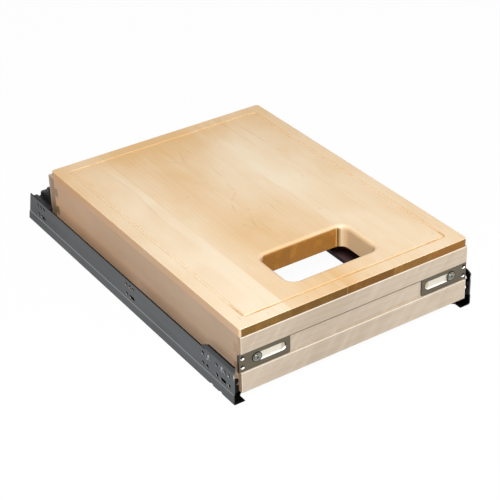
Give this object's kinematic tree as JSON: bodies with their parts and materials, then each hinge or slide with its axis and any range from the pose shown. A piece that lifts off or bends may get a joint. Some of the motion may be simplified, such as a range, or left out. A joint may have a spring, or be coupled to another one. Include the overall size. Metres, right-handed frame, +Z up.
{
  "type": "drawer with cutting board lid",
  "caption": "Shallow dovetailed drawer box with a thick cutting board for a lid, a scrap hole, slotted front brackets and full-extension undermount runners.",
  "frame": {"origin": "under the middle of the whole part, on the plane that the runners' bases stand on, with the drawer closed", "axes": "+X to the right seen from the front, +Y from the front to the back, +Z up"},
  "size_m": [0.381, 0.56, 0.1088],
  "materials": {
    "board_wood": "edge-glued maple, fine sanded and oiled",
    "box_wood": "pale hardwood, satin clear coat",
    "panel_black": "black faced panel, matt",
    "runner_steel": "zinc plated sheet, satin grey",
    "bracket_steel": "nickel plated sheet, satin",
    "screw_steel": "zinc plated, satin",
    "rod_steel": "ground rod",
    "roller_steel": "hardened, ground",
    "black_plastic": "moulded, fine matt",
    "lever_plastic": "moulded, fine matt, dark grey",
    "carriage_plastic": "moulded, grey"
  },
  "bodies": {
    "runners_fixed": {"cabinet_profile_left": "runner_steel", "damper_housing_left": "black_plastic", "cabinet_profile_right": "runner_steel", "damper_housing_right": "black_plastic"},
    "drawer": {"box_front": "box_wood", "box_back": "box_wood", "box_side_left": "box_wood", "box_side_right": "box_wood", "box_bottom": "panel_black", "drawer_profile_left": "runner_steel", "rear_hook_left": "runner_steel", "hook_rivets_left": "screw_steel", "bracket_washer_left": "screw_steel", "bracket_screw_left": "screw_steel", "locking_clip_left": "black_plastic", "clip_screws_left": "screw_steel", "drawer_profile_right": "runner_steel", "rear_hook_right": "runner_steel", "hook_rivets_right": "screw_steel", "bracket_washer_right": "screw_steel", "bracket_screw_right": "screw_steel", "locking_clip_right": "black_plastic", "clip_screws_right": "screw_steel"},
    "board": {"cutting_board": "board_wood"},
    "bracket_left": {"front_bracket_left": "bracket_steel"},
    "lever_left": {"release_lever_left": "lever_plastic"},
    "middle_left": {"intermediate_profile_left": "runner_steel", "intermediate_stops_left": "black_plastic"},
    "plunger_left": {"damper_plunger_left": "rod_steel", "plunger_tip_left": "black_plastic"},
    "lower_cage_left": {"lower_carriage_left": "carriage_plastic"},
    "lower_front_roll_left": {"lower_front_roller_left": "roller_steel"},
    "lower_rear_roll_left": {"lower_rear_roller_left": "roller_steel"},
    "upper_cage_left": {"upper_carriage_left": "carriage_plastic"},
    "upper_front_roll_left": {"upper_front_roller_left": "roller_steel"},
    "upper_rear_roll_left": {"upper_rear_roller_left": "roller_steel"},
    "bracket_right": {"front_bracket_right": "bracket_steel"},
    "lever_right": {"release_lever_right": "lever_plastic"},
    "middle_right": {"intermediate_profile_right": "runner_steel", "intermediate_stops_right": "black_plastic"},
    "plunger_right": {"damper_plunger_right": "rod_steel", "plunger_tip_right": "black_plastic"},
    "lower_cage_right": {"lower_carriage_right": "carriage_plastic"},
    "lower_front_roll_right": {"lower_front_roller_right": "roller_steel"},
    "lower_rear_roll_right": {"lower_rear_roller_right": "roller_steel"},
    "upper_cage_right": {"upper_carriage_right": "carriage_plastic"},
    "upper_front_roll_right": {"upper_front_roller_right": "roller_steel"},
    "upper_rear_roll_right": {"upper_rear_roller_right": "roller_steel"}
  },
  "joints": [
    {"name": "drawer_pull", "type": "slide", "parent": "runners_fixed", "child": "drawer", "axis": [0, -1, 0], "range_m": [0, 0.48]},
    {"name": "board_lift", "type": "slide", "parent": "drawer", "child": "board", "axis": [0, 0, 1], "range_m": [0, 0.06]},
    {"name": "bracket_adjust_left", "type": "slide", "parent": "drawer", "child": "bracket_left", "axis": [-1, 0, 0], "range_m": [0, 0.003]},
    {"name": "lever_squeeze_left", "type": "hinge", "parent": "drawer", "child": "lever_left", "pos_m": [-0.134, -0.2438, 0.0246], "axis": [0, 0, -1], "range_deg": [0, 8], "stiffness_Nm_per_rad": 0.2, "springref_deg": -2.86},
    {"name": "middle_slide_left", "type": "slide", "parent": "runners_fixed", "child": "middle_left", "axis": [0, -1, 0], "range_m": [0, 0.24]},
    {"name": "plunger_slide_left", "type": "slide", "parent": "runners_fixed", "child": "plunger_left", "axis": [0, -1, 0], "range_m": [0, 0.026]},
    {"name": "lower_cage_slide_left", "type": "slide", "parent": "runners_fixed", "child": "lower_cage_left", "axis": [0, -1, 0], "range_m": [0, 0.12]},
    {"name": "lower_front_spin_left", "type": "hinge", "parent": "lower_cage_left", "child": "lower_front_roll_left", "pos_m": [-0.153, -0.111, 0.00465], "axis": [1, 0, 0], "range_deg": [0, 2300]},
    {"name": "lower_rear_spin_left", "type": "hinge", "parent": "lower_cage_left", "child": "lower_rear_roll_left", "pos_m": [-0.153, 0.071, 0.00465], "axis": [1, 0, 0], "range_deg": [0, 2300]},
    {"name": "upper_cage_slide_left", "type": "slide", "parent": "runners_fixed", "child": "upper_cage_left", "axis": [0, -1, 0], "range_m": [0, 0.36]},
    {"name": "upper_front_spin_left", "type": "hinge", "parent": "upper_cage_left", "child": "upper_front_roll_left", "pos_m": [-0.153, -0.106, 0.02305], "axis": [1, 0, 0], "range_deg": [0, 2300]},
    {"name": "upper_rear_spin_left", "type": "hinge", "parent": "upper_cage_left", "child": "upper_rear_roll_left", "pos_m": [-0.153, 0.076, 0.02305], "axis": [1, 0, 0], "range_deg": [0, 2300]},
    {"name": "bracket_adjust_right", "type": "slide", "parent": "drawer", "child": "bracket_right", "axis": [1, 0, 0], "range_m": [0, 0.003]},
    {"name": "lever_squeeze_right", "type": "hinge", "parent": "drawer", "child": "lever_right", "pos_m": [0.134, -0.2438, 0.0246], "axis": [0, 0, 1], "range_deg": [0, 8], "stiffness_Nm_per_rad": 0.2, "springref_deg": -2.86},
    {"name": "middle_slide_right", "type": "slide", "parent": "runners_fixed", "child": "middle_right", "axis": [0, -1, 0], "range_m": [0, 0.24]},
    {"name": "plunger_slide_right", "type": "slide", "parent": "runners_fixed", "child": "plunger_right", "axis": [0, -1, 0], "range_m": [0, 0.026]},
    {"name": "lower_cage_slide_right", "type": "slide", "parent": "runners_fixed", "child": "lower_cage_right", "axis": [0, -1, 0], "range_m": [0, 0.12]},
    {"name": "lower_front_spin_right", "type": "hinge", "parent": "lower_cage_right", "child": "lower_front_roll_right", "pos_m": [0.153, -0.111, 0.00465], "axis": [1, 0, 0], "range_deg": [0, 2300]},
    {"name": "lower_rear_spin_right", "type": "hinge", "parent": "lower_cage_right", "child": "lower_rear_roll_right", "pos_m": [0.153, 0.071, 0.00465], "axis": [1, 0, 0], "range_deg": [0, 2300]},
    {"name": "upper_cage_slide_right", "type": "slide", "parent": "runners_fixed", "child": "upper_cage_right", "axis": [0, -1, 0], "range_m": [0, 0.36]},
    {"name": "upper_front_spin_right", "type": "hinge", "parent": "upper_cage_right", "child": "upper_front_roll_right", "pos_m": [0.153, -0.106, 0.02305], "axis": [1, 0, 0], "range_deg": [0, 2300]},
    {"name": "upper_rear_spin_right", "type": "hinge", "parent": "upper_cage_right", "child": "upper_rear_roll_right", "pos_m": [0.153, 0.076, 0.02305], "axis": [1, 0, 0], "range_deg": [0, 2300]}
  ],
  "couplings": [
    {"joint": "middle_slide_left", "follows": "drawer_pull", "ratio": 0.5},
    {"joint": "plunger_slide_left", "follows": "drawer_pull", "ratio": 0.054166},
    {"joint": "lower_cage_slide_left", "follows": "drawer_pull", "ratio": 0.25},
    {"joint": "lower_front_spin_left", "follows": "drawer_pull", "rad_per_m": 83.333},
    {"joint": "lower_rear_spin_left", "follows": "drawer_pull", "rad_per_m": 83.333},
    {"joint": "upper_cage_slide_left", "follows": "drawer_pull", "ratio": 0.75},
    {"joint": "upper_front_spin_left", "follows": "drawer_pull", "rad_per_m": 83.333},
    {"joint": "upper_rear_spin_left", "follows": "drawer_pull", "rad_per_m": 83.333},
    {"joint": "middle_slide_right", "follows": "drawer_pull", "ratio": 0.5},
    {"joint": "plunger_slide_right", "follows": "drawer_pull", "ratio": 0.054166},
    {"joint": "lower_cage_slide_right", "follows": "drawer_pull", "ratio": 0.25},
    {"joint": "lower_front_spin_right", "follows": "drawer_pull", "rad_per_m": 83.333},
    {"joint": "lower_rear_spin_right", "follows": "drawer_pull", "rad_per_m": 83.333},
    {"joint": "upper_cage_slide_right", "follows": "drawer_pull", "ratio": 0.75},
    {"joint": "upper_front_spin_right", "follows": "drawer_pull", "rad_per_m": 83.333},
    {"joint": "upper_rear_spin_right", "follows": "drawer_pull", "rad_per_m": 83.333}
  ]
}
